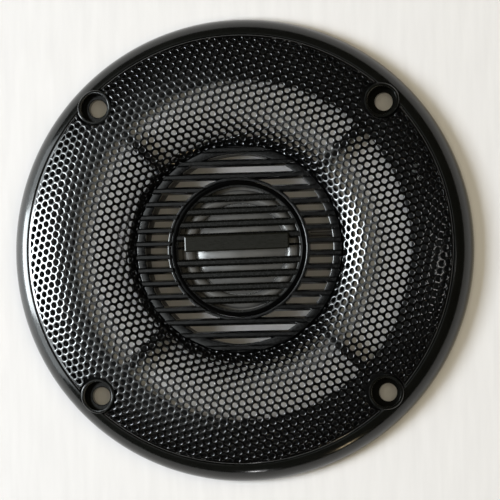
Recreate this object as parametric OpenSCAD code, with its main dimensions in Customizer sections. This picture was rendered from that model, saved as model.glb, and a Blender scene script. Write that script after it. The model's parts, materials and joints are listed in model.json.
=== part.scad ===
// Round in-car tweeter unit for a 4-inch speaker opening.
// A moulded bezel and frame carry a domed wire-mesh ring. A louvred cover in
// the middle holds a slim dome tweeter capsule behind its own slatted grille.
// Millimetres. +Z is out of the front. z = 0 is the back, which lies on the panel.

/* [Bezel and screw bosses] */
// Outside diameter of the bezel
bezel_d = 128; // [126:0.5:132]
// Radius of the bezel's rounded outer side
slope_r = 8.2; // [7.6:0.1:9]
// Diameter of the circle through the four screw holes
screw_pcd = 113; // [112.5:0.1:113.4]
// Diameter of each screw hole
screw_hole_d = 5; // [4:0.1:5.4]
// Diameter of the recess for each screw head
counterbore_d = 8; // [7.6:0.1:8.4]
// Outside diameter of each boss
boss_d = 9.6; // [9.4:0.1:9.8]
// Height at which the boss mouths stand over the curve of the bezel
boss_lift = 0.5; // [0.2:0.1:0.8]
// Height of the floor under the screw heads
seat_z = 4; // [3.4:0.1:4.6]

/* [Rear frame] */
// Height of the frame's back face
frame_z = 2.4; // [2.4:0.1:2.6]
// Thickness of the flange
flange_t = 2; // [1.6:0.1:2.4]
// Outside diameter of the open windows
window_d = 94; // [88:1:98]
// Width of each spoke
spoke_w = 2.4; // [1.6:0.1:3]
// Height of each spoke
spoke_h = 4; // [3:0.1:5]

/* [Mesh] */
// Height of the mesh crest
crest_z = 14.5; // [14:0.1:15.5]
// Radius at which the crest lies
crest_r = 40; // [39:0.5:41]
// Thickness of the mesh sheet
sheet_t = 0.8; // [0.6:0.1:1]
// Width of the tabs that hold the mesh to the frame
tab_w = 5; // [3:0.5:6]

/* [Louvred cover] */
// Outside diameter of the cover
cover_d = 56.8; // [56:0.1:57]
// Height of the slat faces
slat_z = 11; // [10.6:0.1:11.4]
// Distance between slats
slat_pitch = 3.63; // [3.5:0.01:3.8]
// Width of a slat's flat face
slat_face_w = 1.2; // [0.8:0.1:1.5]
// Width of a slat at its root
slat_root_w = 2.1; // [1.8:0.1:2.4]
// Angle by which the cover is turned in its seat
cover_turn = 0.4; // [-1:0.1:1]

/* [Tweeter capsule] */
// Outside diameter of the capsule
capsule_d = 37.4; // [37.4:0.1:38]
// Distance between the slats of the capsule's grille
grille_pitch = 3.5; // [3.3:0.05:3.6]
// Angle by which the grille is turned in the capsule
grille_turn = 1.1; // [-2:0.1:2]
// Diameter of the dome
dome_d = 25; // [24.9:0.05:25.1]
// Height of the dome
dome_h = 2.4; // [1.8:0.1:2.6]
// Width of the badge plate
badge_w = 29; // [24:0.5:29.5]

/* [Hidden] */
$fn = 96;
fit = 0.1;               // gap between pieces of the fixed assembly

// Bezel and flange
bezel_r = bezel_d / 2;
lip_r = bezel_r - 4.8;   // inner edge of the bezel's lip, beside the mesh
lip_round = 0.35;
mesh_edge_r = lip_r - 0.15;
skirt_in_r = bezel_r - 1.8;
skirt_z = 1.6;           // straight part of the skirt below the outer curve
slope_mid_r = bezel_r - slope_r;
lip_mid_r = lip_r + lip_round;
lip_mid_z = skirt_z + sqrt(pow(slope_r - lip_round, 2) - pow(lip_mid_r - slope_mid_r, 2));
slope_end = atan2(lip_mid_z - skirt_z, lip_mid_r - slope_mid_r);
ledge_z = 6.4;           // underside of the lip
boss_foot_z = 1.2;
boss_z = skirt_z + slope_r + boss_lift;
snap_h = 0.5;            // snap bead that holds the frame in the bezel
flange_r = skirt_in_r - 0.2;
flange_top = frame_z + flange_t;
boss_angles = [45, 135, 225, 315];
boss_r = boss_d / 2;

// Collar of the frame around the cover
collar_in_r = 26.1;
collar_wall = 1.5;
collar_z = 7.6;          // height of the seat under the cover
channel_in_r = collar_in_r + collar_wall;
channel_out_r = 29.6;
collar_out_r = 31.2;
channel_web_z = 4.4;
collar_out_z = 8.2;

// Mesh
outer_arc_r = 38;
inner_arc_r = 15.7;
inner_edge_r = 28.7;
tab_angles = [0, 90, 180, 270];

// Cover
cover_r = cover_d / 2;
slat_bottom_z = 8.2;
slats_each_side = 8;
hoop_in_r = capsule_d / 2 + fit;
hoop_out_r = hoop_in_r + 0.9;
hoop_z = 7.4;
rim_top_z = slat_z - 1.2;
hoop_top_z = slat_z - 0.6;

// Capsule, from the floor up
capsule_r = capsule_d / 2;
capsule_wall = 1;
cup_in_r = capsule_r - capsule_wall;
capsule_z = 0.3;
floor_z = 1.3;
yoke_floor_z = 2.2;
magnet_z = 3.4;
gap_z = 4.8;             // top of the pole plate and of the yoke
hang_z = 6;              // plane in which the diaphragm hangs
housing_top_z = 9;
grille_rim_z = 10;
grille_z = 10.4;
grille_bottom_z = 9.2;
grille_r = capsule_r - 1.3;
grille_slats = 4;        // slats on each side of the middle one
ring_top_z = 10.5;
yoke_r = 15.3;
gap_out_r = 13.4;
pole_r = 12.1;
magnet_r = 11.2;
dome_r = dome_d / 2;
former_r = 12.45;
former_t = 0.15;
winding_t = 0.35;
film_t = 0.15;
roll_out_r = 16.2;
hanger_in_r = 15;
hanger_out_r = 17.6;
badge_mid_x = -0.4;
badge_h = grille_pitch + 0.9;
badge_t = 0.8;

// Wiring, from the capsule over the bridge and under a spoke to the terminals
bridge_y = slat_pitch;
bridge_w = 2;
bridge_top_z = 2;
wire_r = 0.4;
block_angle = 22;
block_r = 53;
block_w = 13;
block_d = 6;
block_z = 0.4;
rivet_y = 1.6;
tab_z = 1;

// Points on an arc in the profile plane
function arc(c, r, a0, a1, n = 10) =
    [for (i = [0:n]) c + r * [cos(a0 + (a1 - a0) * i / n), sin(a0 + (a1 - a0) * i / n)]];

// Angle at which a circle reaches a point this far to the side of its top
function lean(dx, r) = asin(dx / r);

module ring(r_in, r_out, z0, z1) {
    rotate_extrude() translate([r_in, z0]) square([r_out - r_in, z1 - z0]);
}

// A slat along X with sloping sides
module slat(y, z0, z1, length) {
    half_root = slat_root_w / 2;
    half_face = slat_face_w / 2;
    translate([-length / 2, y, 0])
        rotate([90, 0, 90])
            linear_extrude(height = length)
                polygon([[-half_root, z0], [half_root, z0], [half_root, z0 + 0.8],
                    [half_face, z1], [-half_face, z1], [-half_root, z0 + 0.8]]);
}

module at_bosses() {
    for (a = boss_angles) rotate([0, 0, a]) translate([screw_pcd / 2, 0, 0]) children();
}

// The bosses end on a curve that runs level with the bezel's own, a little higher
module boss_limit() {
    rotate_extrude($fn = 160) polygon(concat(
        [[0, boss_foot_z], [bezel_r, boss_foot_z]],
        arc([slope_mid_r, skirt_z], slope_r + boss_lift, 0, 90, 14),
        [[0, boss_z]]));
}

module front_bezel() {
    color([0.07, 0.075, 0.07]) difference() {
        union() {
            rotate_extrude($fn = 160) polygon(concat(
                [[skirt_in_r, 0], [bezel_r, 0]],
                arc([slope_mid_r, skirt_z], slope_r, 0, slope_end, 16),
                arc([lip_mid_r, lip_mid_z], lip_round, slope_end + 12, 180, 6),
                [[lip_r, ledge_z], [lip_r + 1.4, ledge_z],
                    [skirt_in_r, 4.6], [skirt_in_r, frame_z],
                    [skirt_in_r - snap_h, frame_z], [skirt_in_r - snap_h, frame_z - 0.3],
                    [skirt_in_r, frame_z - 0.8]]));
            intersection() {
                at_bosses() cylinder(d = boss_d, h = 30);
                boss_limit();
            }
        }
        at_bosses() {
            translate([0, 0, seat_z]) cylinder(d = counterbore_d, h = 30);
            translate([0, 0, -1]) cylinder(d = screw_hole_d, h = 30);
        }
    }
}

module rear_frame() {
    color([0.05, 0.05, 0.052]) difference() {
        union() {
            ring(window_d / 2, flange_r, frame_z, flange_top);
            rotate_extrude() polygon([
                [collar_in_r, 0.4], [channel_in_r, 0.4], [channel_in_r, channel_web_z],
                [channel_out_r, channel_web_z], [channel_out_r, frame_z],
                [collar_out_r, frame_z], [collar_out_r, collar_out_z],
                [channel_out_r, collar_out_z], [channel_out_r, channel_web_z + 1.6],
                [cover_r, channel_web_z + 1.6], [cover_r, collar_z], [collar_in_r, collar_z]]);
            for (a = boss_angles) rotate([0, 0, a])
                translate([collar_out_r - 0.5, -spoke_w / 2, frame_z])
                    cube([window_d / 2 - collar_out_r + 1, spoke_w, spoke_h]);
            translate([capsule_r + 0.2, bridge_y - bridge_w / 2, 0.4])
                cube([collar_in_r - capsule_r + 0.2, bridge_w, bridge_top_z - 0.4]);
        }
        at_bosses() {
            cylinder(d = boss_d + 0.3, h = 30, center = true);
            translate([0, -boss_r - 0.15, -1]) cube([8, boss_d + 0.3, 30]);
        }
        for (a = tab_angles) rotate([0, 0, a])
            translate([mesh_edge_r - sheet_t - 0.15, -tab_w / 2 - 0.2, 0])
                cube([sheet_t + 0.3, tab_w + 0.4, flange_top + 1]);
        translate([collar_in_r - 1, bridge_y - bridge_w / 2, bridge_top_z])
            cube([3.5, bridge_w, 2.2]);
        terminal_frame() rivet_places() cylinder(d = 1.7, h = 30, center = true);
    }
}

module foam_gasket() {
    color([0.09, 0.09, 0.09]) difference() {
        ring(mesh_edge_r + 0.8, skirt_in_r - snap_h - 0.1, 0, frame_z);
        at_bosses() cylinder(d = boss_d + 1, h = 30, center = true);
    }
}

module mesh_grille() {
    outer_mid = [crest_r, crest_z - outer_arc_r];
    inner_mid = [crest_r, crest_z - inner_arc_r];
    outer_lean = lean(mesh_edge_r - crest_r, outer_arc_r);
    inner_lean = lean(crest_r - inner_edge_r, inner_arc_r);
    in_outer_lean = lean(mesh_edge_r - sheet_t - crest_r, outer_arc_r - sheet_t);
    in_inner_lean = lean(crest_r - inner_edge_r - sheet_t, inner_arc_r - sheet_t);
    color([0.06, 0.06, 0.06]) difference() {
        union() {
            rotate_extrude($fn = 160) polygon(concat(
                [[mesh_edge_r, flange_top + fit]],
                arc(outer_mid, outer_arc_r, 90 - outer_lean, 90, 14),
                arc(inner_mid, inner_arc_r, 90, 90 + inner_lean, 12),
                [[inner_edge_r, 7], [inner_edge_r + sheet_t, 7]],
                arc(inner_mid, inner_arc_r - sheet_t, 90 + in_inner_lean, 90, 12),
                arc(outer_mid, outer_arc_r - sheet_t, 90, 90 - in_outer_lean, 14),
                [[mesh_edge_r - sheet_t, flange_top + fit]]));
            for (a = tab_angles) rotate([0, 0, a]) {
                translate([mesh_edge_r - sheet_t, -tab_w / 2, frame_z - fit - sheet_t])
                    cube([sheet_t, tab_w, flange_t + sheet_t + 1]);
                translate([mesh_edge_r - 4, -tab_w / 2, frame_z - fit - sheet_t])
                    cube([4, tab_w, sheet_t]);
            }
        }
        at_bosses() cylinder(r = boss_r + 0.6, h = 60, center = true);
    }
}

module louvre_cover() {
    color([0.04, 0.042, 0.045]) union() {
        ring(collar_in_r, cover_r, collar_z + fit, rim_top_z);
        ring(hoop_in_r, hoop_out_r, hoop_z, hoop_top_z);
        intersection() {
            ring(hoop_in_r + 0.3, cover_r, 0, slat_z + 1);
            rotate([0, 0, cover_turn]) for (i = [0.5:1:slats_each_side - 0.5]) {
                slat(i * slat_pitch, slat_bottom_z, slat_z, cover_d + 2);
                slat(-i * slat_pitch, slat_bottom_z, slat_z, cover_d + 2);
            }
        }
    }
}

module capsule_housing() {
    color([0.06, 0.06, 0.06]) difference() {
        translate([0, 0, capsule_z]) cylinder(r = capsule_r, h = housing_top_z - capsule_z);
        translate([0, 0, floor_z]) cylinder(r = cup_in_r, h = 20);
        translate([cup_in_r - 1.5, bridge_y - bridge_w / 2, bridge_top_z])
            cube([4, bridge_w, 1.2]);
    }
}

module capsule_ring() {
    corner = 0.35;
    color([0.03, 0.03, 0.03]) rotate_extrude() polygon(concat(
        [[grille_r + fit, grille_rim_z], [capsule_r, grille_rim_z]],
        arc([capsule_r - corner, ring_top_z - corner], corner, 0, 90, 6),
        [[grille_r + fit, ring_top_z]]));
}

module capsule_grille() {
    color([0.05, 0.052, 0.05]) union() {
        ring(grille_r - 0.5, capsule_r - 0.1, housing_top_z, grille_rim_z);
        intersection() {
            cylinder(r = grille_r, h = 30);
            rotate([0, 0, grille_turn]) for (i = [-grille_slats:grille_slats])
                slat(i * grille_pitch, grille_bottom_z, grille_z, 2 * grille_r + 2);
        }
    }
}

module badge_plate() {
    half_w = badge_w / 2;
    half_h = badge_h / 2;
    corner = 0.5;
    color([0.2, 0.2, 0.17])
        rotate([0, 0, grille_turn]) translate([badge_mid_x, grille_pitch / 2, grille_z]) union() {
        linear_extrude(height = badge_t - 0.2) polygon([
            [-half_w, corner - half_h], [corner - half_w, -half_h],
            [half_w - corner, -half_h], [half_w, corner - half_h],
            [half_w, half_h - corner], [half_w - corner, half_h],
            [corner - half_w, half_h], [-half_w, half_h - corner]]);
        translate([0.2 - half_w, 0.2 - half_h, 0])
            cube([badge_w - 0.4, badge_h - 0.4, badge_t]);
    }
}

module yoke_cup() {
    color([0.6, 0.6, 0.62]) difference() {
        translate([0, 0, floor_z]) cylinder(r = yoke_r, h = gap_z - floor_z);
        translate([0, 0, yoke_floor_z]) cylinder(r = gap_out_r, h = 10);
    }
}

module magnet() {
    color([0.75, 0.75, 0.76])
        translate([0, 0, yoke_floor_z]) cylinder(r = magnet_r, h = magnet_z - yoke_floor_z);
}

module pole_plate() {
    color([0.6, 0.6, 0.62])
        translate([0, 0, magnet_z]) cylinder(r = pole_r, h = gap_z - magnet_z);
}

module damping_pad() {
    color([0.35, 0.33, 0.3]) translate([0, 0, gap_z]) cylinder(r = 9, h = 0.6);
}

module diaphragm_ring() {
    color([0.1, 0.1, 0.1]) difference() {
        ring(hanger_in_r, hanger_out_r, gap_z, hang_z);
        rotate([0, 0, 12]) translate([14, -2.2, 0]) cube([3.2, 4.4, 20]);
    }
}

module dome() {
    cap_r = (dome_r * dome_r + dome_h * dome_h) / (2 * dome_h);
    cap_mid_z = hang_z + dome_h - cap_r;
    color([0.16, 0.165, 0.15]) difference() {
        intersection() {
            translate([0, 0, cap_mid_z]) sphere(r = cap_r, $fn = 128);
            translate([0, 0, hang_z]) cylinder(r = dome_r, h = 20);
        }
        translate([0, 0, cap_mid_z]) sphere(r = cap_r - film_t, $fn = 128);
    }
}

module surround() {
    roll_in_r = dome_r + 0.1 + film_t;
    roll_mid_r = (roll_in_r + roll_out_r) / 2;
    roll_r = (roll_out_r - roll_in_r) / 2;
    color([0.14, 0.145, 0.13]) rotate_extrude() polygon(concat(
        arc([roll_mid_r, hang_z], roll_r, 180, 0, 14),
        [[hanger_out_r - 0.2, hang_z], [hanger_out_r - 0.2, hang_z + film_t],
            [roll_out_r + 0.15, hang_z + film_t]],
        arc([roll_mid_r, hang_z], roll_r + film_t, 5, 175, 14)));
}

module coil_former() {
    color([0.75, 0.72, 0.6]) ring(former_r, former_r + former_t, 3.2, hang_z);
}

module coil_winding() {
    color([0.72, 0.35, 0.16])
        ring(former_r + former_t, former_r + former_t + winding_t, 3.3, 5);
}

// One tube through a list of points, with eight sides
module tube(points, r) {
    last = len(points) - 1;
    sides = 8;
    rings = [for (i = [0:last])
        let (ahead = points[min(i + 1, last)] - points[max(i - 1, 0)],
            dir = ahead / norm(ahead),
            side = cross(dir, [0, 0, 1]),
            flat = norm(side) < 0.05 ? [0, 1, 0] : side / norm(side),
            up = cross(flat, dir))
            for (k = [0:sides - 1])
                points[i] + r * (cos(360 * k / sides) * flat + sin(360 * k / sides) * up)];
    walls = [for (i = [0:last - 1]) for (k = [0:sides - 1])
        let (a = i * sides + k, b = i * sides + (k + 1) % sides)
            each [[a, b, b + sides], [a, b + sides, a + sides]]];
    start = [for (k = [sides - 1:-1:0]) k];
    end = [for (k = [0:sides - 1]) last * sides + k];
    polyhedron(points = rings, faces = concat([start], walls, [end]));
}

// A rounded route: each inner corner becomes two points, twice over
function soften(p) = concat([p[0]],
    [for (i = [0:len(p) - 2]) each [p[i] * 0.75 + p[i + 1] * 0.25, p[i] * 0.25 + p[i + 1] * 0.75]],
    [p[len(p) - 1]]);

module coil_leads() {
    color([0.8, 0.5, 0.3]) for (y = [-1, 1]) rotate([0, 0, 12])
        tube(soften([[13.25, y, 5.2], [14.2, y, 5.4], [16, y, 5.6], [16.6, y, 5], [16.6, y, 2.5]]), 0.2);
}

module solder_board() {
    color([0.25, 0.32, 0.16]) rotate([0, 0, 12]) translate([yoke_r + 0.2, -2.6, floor_z])
        cube([1.9, 5.2, 1]);
}

module crossover_capacitor() {
    color([0.55, 0.3, 0.1]) rotate([0, 0, 60]) translate([yoke_r + 0.25, -2.6, floor_z])
        cube([1.9, 5.2, 2.7]);
}

// The wires stay side by side all the way: over the bridge, along the channel,
// under the spoke and the flange, and on to the inner side of the terminal block.
function on_circle(r, a, z) = [r * cos(a), r * sin(a), z];
function beside_spoke(r, off, z) = [(r - off) / sqrt(2), (r + off) / sqrt(2), z];
function at_block(x, y, z) = on_circle(block_r, block_angle, 0)
    + [x * cos(block_angle) - y * sin(block_angle), x * sin(block_angle) + y * cos(block_angle), z];
positive_route = concat(
    [[16.9, 3.95, 2.75], [18.5, 3.95, 2.75], [26, 3.95, 2.5], [27.8, 3.95, 2.5]],
    [for (a = [12:6:36]) on_circle(28.1, a, 2.4)],
    [on_circle(28.1, 41, 1.9), on_circle(28.15, 46, 1.85),
        beside_spoke(31, 0.55, 1.85), beside_spoke(50, 0.55, 1.8),
        at_block(-4.6, 10, 1.6), at_block(-4.4, 4.5, 1.4), at_block(-4.2, 2.4, 1.4),
        at_block(-3.05, 2.4, 1.4)]);
negative_route = concat(
    [[16.9, 3.05, 2.75], [18.5, 3.05, 2.75], [26, 3.05, 2.5], [28.9, 3.05, 2.5]],
    [for (a = [11:6:35]) on_circle(29.1, a, 2.4)],
    [on_circle(29.1, 39.5, 1.9), on_circle(29.1, 43.9, 1.85),
        beside_spoke(32, -0.55, 1.85), beside_spoke(48.6, -0.55, 1.8),
        at_block(-5.6, 10, 1.6), at_block(-5.5, 0, 1.4), at_block(-5, -2.4, 1.4),
        at_block(-3.05, -2.4, 1.4)]);

module lead_wire_positive() {
    color([0.45, 0.45, 0.44]) tube(soften(soften(positive_route)), wire_r);
}

module lead_wire_negative() {
    color([0.05, 0.05, 0.05]) tube(soften(soften(negative_route)), wire_r);
}

module terminal_frame() {
    rotate([0, 0, block_angle]) translate([block_r, 0, 0]) children();
}

module rivet_places() {
    for (y = [-rivet_y, rivet_y]) translate([0, y, 0]) children();
}

module terminal_block() {
    color([0.08, 0.08, 0.08]) terminal_frame() difference() {
        translate([-block_d / 2, -block_w / 2, block_z])
            cube([block_d, block_w, frame_z - fit - block_z]);
        rivet_places() cylinder(d = 1.7, h = 30, center = true);
        translate([-2.5, 3.4, tab_z - 0.05]) cube([5, 5, 0.9]);
        translate([-1.5, -8.4, tab_z - 0.05]) cube([3, 5, 0.9]);
    }
}

module blade(width, start_y, end_y) {
    sense = sign(end_y - start_y);
    taper = 0.8;
    translate([0, 0, tab_z]) linear_extrude(height = 0.8) polygon([
        [-width / 2, start_y], [width / 2, start_y], [width / 2, end_y - sense * taper],
        [width / 2 - taper, end_y], [taper - width / 2, end_y],
        [-width / 2, end_y - sense * taper]]);
}

module terminal_positive() {
    color([0.8, 0.7, 0.4]) terminal_frame() blade(4.8, 3.5, 12.8);
}

module terminal_negative() {
    color([0.8, 0.7, 0.4]) terminal_frame() blade(2.8, -3.5, -12.8);
}

module terminal_rivets() {
    color([0.75, 0.75, 0.75]) terminal_frame() rivet_places() {
        translate([0, 0, block_z - 0.3]) cylinder(d = 2.8, h = 0.3);
        translate([0, 0, block_z - 0.1]) cylinder(d = 1.5, h = flange_top - block_z + 0.2);
        translate([0, 0, flange_top]) cylinder(d = 2.8, h = 0.4);
    }
}

front_bezel();
rear_frame();
foam_gasket();
mesh_grille();
louvre_cover();
capsule_housing();
capsule_ring();
capsule_grille();
badge_plate();
yoke_cup();
magnet();
pole_plate();
damping_pad();
diaphragm_ring();
dome();
surround();
coil_former();
coil_winding();
coil_leads();
solder_board();
crossover_capacitor();
lead_wire_positive();
lead_wire_negative();
terminal_block();
terminal_positive();
terminal_negative();
terminal_rivets();
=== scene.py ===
"""The looks of a round in-car tweeter unit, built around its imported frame.

Every piece is made here as a mesh or a curve from the frame's own sizes, and each
stands for one node of the frame. Lengths are in millimetres until a mesh is made.
"""
import json
import math

import bmesh
import bpy
import numpy as np
from mathutils import Matrix, Vector


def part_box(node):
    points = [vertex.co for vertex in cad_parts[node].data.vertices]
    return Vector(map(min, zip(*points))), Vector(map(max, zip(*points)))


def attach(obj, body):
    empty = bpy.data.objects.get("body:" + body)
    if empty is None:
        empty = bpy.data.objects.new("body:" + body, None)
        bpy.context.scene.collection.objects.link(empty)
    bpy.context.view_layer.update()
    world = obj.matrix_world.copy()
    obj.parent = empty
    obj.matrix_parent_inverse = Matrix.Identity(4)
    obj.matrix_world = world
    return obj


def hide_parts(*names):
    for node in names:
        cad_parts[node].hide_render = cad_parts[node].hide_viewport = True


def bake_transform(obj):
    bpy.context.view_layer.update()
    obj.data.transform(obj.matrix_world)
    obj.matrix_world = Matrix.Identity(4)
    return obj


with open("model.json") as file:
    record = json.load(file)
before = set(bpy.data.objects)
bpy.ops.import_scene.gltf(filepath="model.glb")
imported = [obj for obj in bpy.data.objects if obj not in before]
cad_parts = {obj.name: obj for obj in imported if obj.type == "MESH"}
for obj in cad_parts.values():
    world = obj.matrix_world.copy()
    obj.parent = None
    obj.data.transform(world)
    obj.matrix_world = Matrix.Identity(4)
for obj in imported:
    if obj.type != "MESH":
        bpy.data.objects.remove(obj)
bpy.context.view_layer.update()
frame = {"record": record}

MM = 0.001
TAU = 2 * math.pi


# ---------------------------------------------------------------- sizes

def top(node):
    """Height of a node's highest point."""
    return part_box(node)[1].z / MM


def bottom(node):
    """Height of a node's lowest point."""
    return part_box(node)[0].z / MM


def reach(node):
    """Outer radius of a round node."""
    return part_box(node)[1].x / MM


# Bezel and bosses
BEZEL_R = reach("front_bezel")
SKIRT_T = 1.8
SLOPE_R = 8.2
SLOPE_MID = (BEZEL_R - SLOPE_R, 1.6)
LIP_R = BEZEL_R - 4.8
LIP_ROUND = 0.35
SCREW = next(m for m in frame["record"]["mounts"] if m["name"] == "screw_holes")["dims"]
SCREW_RING_R = SCREW["pcd_mm"] / 2
SCREW_HOLE_R = SCREW["hole_r_mm"]
BOSS_R = 4.8
BOSS_FOOT = 1.2
BOSS_LIFT = 0.5
RECESS_R = 4
SEAT_Z = 4
BOSS_ANGLES = [45, 135, 225, 315]

# Frame
FLANGE_R = reach("rear_frame")
FRAME_Z = 2.4
FLANGE_TOP = 4.4
WINDOW_R = 47
SPOKE_W = 2.4
SPOKE_TOP = 6.4
COLLAR_IN_R = 26.1
CHANNEL_IN_R = 27.6
CHANNEL_OUT_R = 29.6
COLLAR_OUT_R = 31.2
COLLAR_Z = bottom("rear_frame")
SEAT_TOP = 7.6
BRIDGE_Y = 3.63
BRIDGE_W = 2
BRIDGE_TOP = 2

# Mesh
CREST_Z = top("mesh_grille")
CREST_R = 40
MESH_R = reach("mesh_grille")
OUTER_ARC = 38
INNER_ARC = 15.7
EDGE_ARC = 1
MESH_IN_R = 28.7
MESH_IN_Z = 7
MESH_FOOT_Z = 4.5
SHEET_T = 0.8
HOLE_R = 0.75
HOLE_ROLL = 0.15
HOLE_PITCH = 2.15
HOLE_TURN = math.radians(16)
MESH_CUT_R = BOSS_R + 0.6
TAB_W = 5

# Louvred cover
COVER_R = reach("louvre_cover")
COVER_TURN = math.radians(0.4)
SLAT_TOP = top("louvre_cover")
SLAT_PITCH = 3.63
SLATS_EACH_SIDE = 8
COVER_RIM_Z = (7.7, 9.8)
HOOP_R = (18.8, 19.7)
HOOP_TOP = SLAT_TOP - 0.6
SLAT_START_R = 19.1
SLAT_ROOT_W = 2.1
SLAT_FACE_W = 0.95
SLAT_BOTTOM = 8.2
SLAT_ROOT_H = 0.8
HOOP_BOTTOM = bottom("louvre_cover")

# Capsule
CAPSULE_R = reach("capsule_housing")
CAPSULE_Z = (bottom("capsule_housing"), top("capsule_housing"))
CUP_IN_R = CAPSULE_R - 1
CUP_FLOOR = 1.3
RING_TOP = top("capsule_ring")
RING_R = (CAPSULE_R - 1.2, CAPSULE_R)
GRILLE_R = CAPSULE_R - 1.3
GRILLE_TURN = math.radians(1.1)
GRILLE_PITCH = 3.5
GRILLE_SLATS = 4
GRILLE_RIM_TOP = 10
GRILLE_TOP = top("capsule_grille")
GRILLE_BOTTOM = 9.2
GRILLE_ROOT_H = 0.5
BADGE_SIZE = (29, 4.4)
BADGE_MID = (-0.4, 1.75)
BADGE_TOP = top("badge_plate")

# Motor and diaphragm
YOKE_R = reach("yoke_cup")
YOKE_TOP = top("yoke_cup")
YOKE_FLOOR = 2.2
GAP_OUT_R = 13.4
MAGNET_R = reach("magnet")
MAGNET_TOP = top("magnet")
POLE_R = reach("pole_plate")
PAD_R = reach("damping_pad")
PAD_TOP = top("damping_pad")
HANG_Z = bottom("dome")
DOME_R = reach("dome")
DOME_TOP = top("dome")
FILM_T = 0.15
ROLL_R = (12.75, 16.2)
HANGER_R = (15, 17.6)
FORMER_R = 12.45
WINDING_R = (12.6, 12.95)
WINDING_Z = (3.3, 5)
LEAD_ANGLE = math.radians(12)

# Wiring
BLOCK_ANGLE = math.radians(22)
BLOCK_R = 53
BLOCK_SIZE = (6, 13)
BLOCK_Z = (0.4, 2.3)
BLADE_Z = (1.0, 1.8)
RIVET_Y = 1.6
WIRE_R = 0.4
POSITIVE_BLADE_W = 4.8
NEGATIVE_BLADE_W = 2.8
BLADE_START = 3.5
BLADE_END = 12.8

# Camera, in metres: nearly straight above, a little to the right, with a slight roll
CAMERA_PLACE = Vector((0.1288, -0.0356, 0.9))
CAMERA_AIM = Vector((0.00255, -0.00027, 0.006))
CAMERA_ROLL = math.radians(0.82)
CAMERA_LENS = 236


# ---------------------------------------------------------------- outlines

def arc(centre, radius, start, end, steps):
    """Points on an arc, with its angles in degrees."""
    turns = [math.radians(start + (end - start) * i / steps) for i in range(steps + 1)]
    return [(centre[0] + radius * math.cos(t), centre[1] + radius * math.sin(t)) for t in turns]


def rounded(points, radius, steps=4):
    """A closed outline with its corners rounded. A point may carry its own radius."""
    outline = []
    for i, point in enumerate(points):
        before = points[i - 1]
        after = points[(i + 1) % len(points)]
        own = point[2] if len(point) > 2 else radius
        corner = Vector(point[:2])
        back = Vector(before[:2]) - corner
        ahead = Vector(after[:2]) - corner
        if own <= 0:
            outline.append(tuple(corner))
            continue
        half = back.angle(ahead) / 2
        length = min(own / math.tan(half), 0.48 * back.length, 0.48 * ahead.length)
        start = corner + back.normalized() * length
        end = corner + ahead.normalized() * length
        for k in range(steps + 1):
            u = k / steps
            outline.append(tuple(start * (1 - u) ** 2 + corner * 2 * u * (1 - u) + end * u ** 2))
    return outline


def rectangle(x0, y0, x1, y1):
    return [(x0, y0), (x1, y0), (x1, y1), (x0, y1)]


# ---------------------------------------------------------------- solids

def lathe(bm, profile, steps=192, centre=(0, 0)):
    """Turns a closed outline of (radius, height) points about an upright axis."""
    rings = []
    for r, z in profile:
        count = 1 if r < 1e-6 else steps
        rings.append([
            bm.verts.new((centre[0] + r * math.cos(TAU * k / steps),
                          centre[1] + r * math.sin(TAU * k / steps), z))
            for k in range(count)])
    for a, b in zip(rings, rings[1:] + rings[:1]):
        if len(a) == len(b) == 1:
            continue
        for k in range(steps):
            n = (k + 1) % steps
            corners = [a[k % len(a)], a[n % len(a)], b[n % len(b)], b[k % len(b)]]
            bm.faces.new(list(dict.fromkeys(corners)))
    return bm


def prism(bm, outline, z0, z1, place=None):
    """Extrudes a closed outline from z0 to z1. place moves each point to where it belongs."""
    place = place or (lambda x, y, z: (x, y, z))
    low = [bm.verts.new(place(x, y, z0)) for x, y in outline]
    high = [bm.verts.new(place(x, y, z1)) for x, y in outline]
    bm.faces.new(low[::-1])
    bm.faces.new(high)
    for k in range(len(outline)):
        n = (k + 1) % len(outline)
        bm.faces.new([low[k], low[n], high[n], high[k]])
    return bm


def loft(bm, rings):
    """Joins rings of points that have the same count, and closes both ends."""
    made = [[bm.verts.new(p) for p in ring] for ring in rings]
    count = len(made[0])
    for a, b in zip(made, made[1:]):
        for k in range(count):
            n = (k + 1) % count
            bm.faces.new([a[k], a[n], b[n], b[k]])
    bm.faces.new(made[0][::-1])
    bm.faces.new(made[-1])
    return bm


def turned_place(angle, shift=0):
    """Moves points into a frame that is turned by an angle and shifted along its own X."""
    c, s = math.cos(angle), math.sin(angle)
    return lambda x, y, z: ((shift + x) * c - y * s, (shift + x) * s + y * c, z)


def boss_centres():
    for degrees in BOSS_ANGLES:
        a = math.radians(degrees)
        yield SCREW_RING_R * math.cos(a), SCREW_RING_R * math.sin(a)


def scratch(bm):
    """A bmesh as an object in metres, with its faces turned outwards."""
    bmesh.ops.recalc_face_normals(bm, faces=bm.faces)
    bmesh.ops.scale(bm, vec=(MM, MM, MM), verts=bm.verts)
    mesh = bpy.data.meshes.new("scratch")
    bm.to_mesh(mesh)
    bm.free()
    obj = bpy.data.objects.new("scratch", mesh)
    bpy.context.scene.collection.objects.link(obj)
    return obj


def combine(obj, others, operation):
    """Joins or cuts with other solids, and removes them."""
    for other in others:
        step = obj.modifiers.new("step", "BOOLEAN")
        step.operation = operation
        step.solver = "EXACT"
        step.object = other
    bpy.context.view_layer.update()
    shown = obj.evaluated_get(bpy.context.evaluated_depsgraph_get())
    old = obj.data
    obj.data = bpy.data.meshes.new_from_object(shown)
    obj.modifiers.clear()
    bpy.data.meshes.remove(old)
    for other in others:
        bpy.data.objects.remove(other)
    return obj


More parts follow.
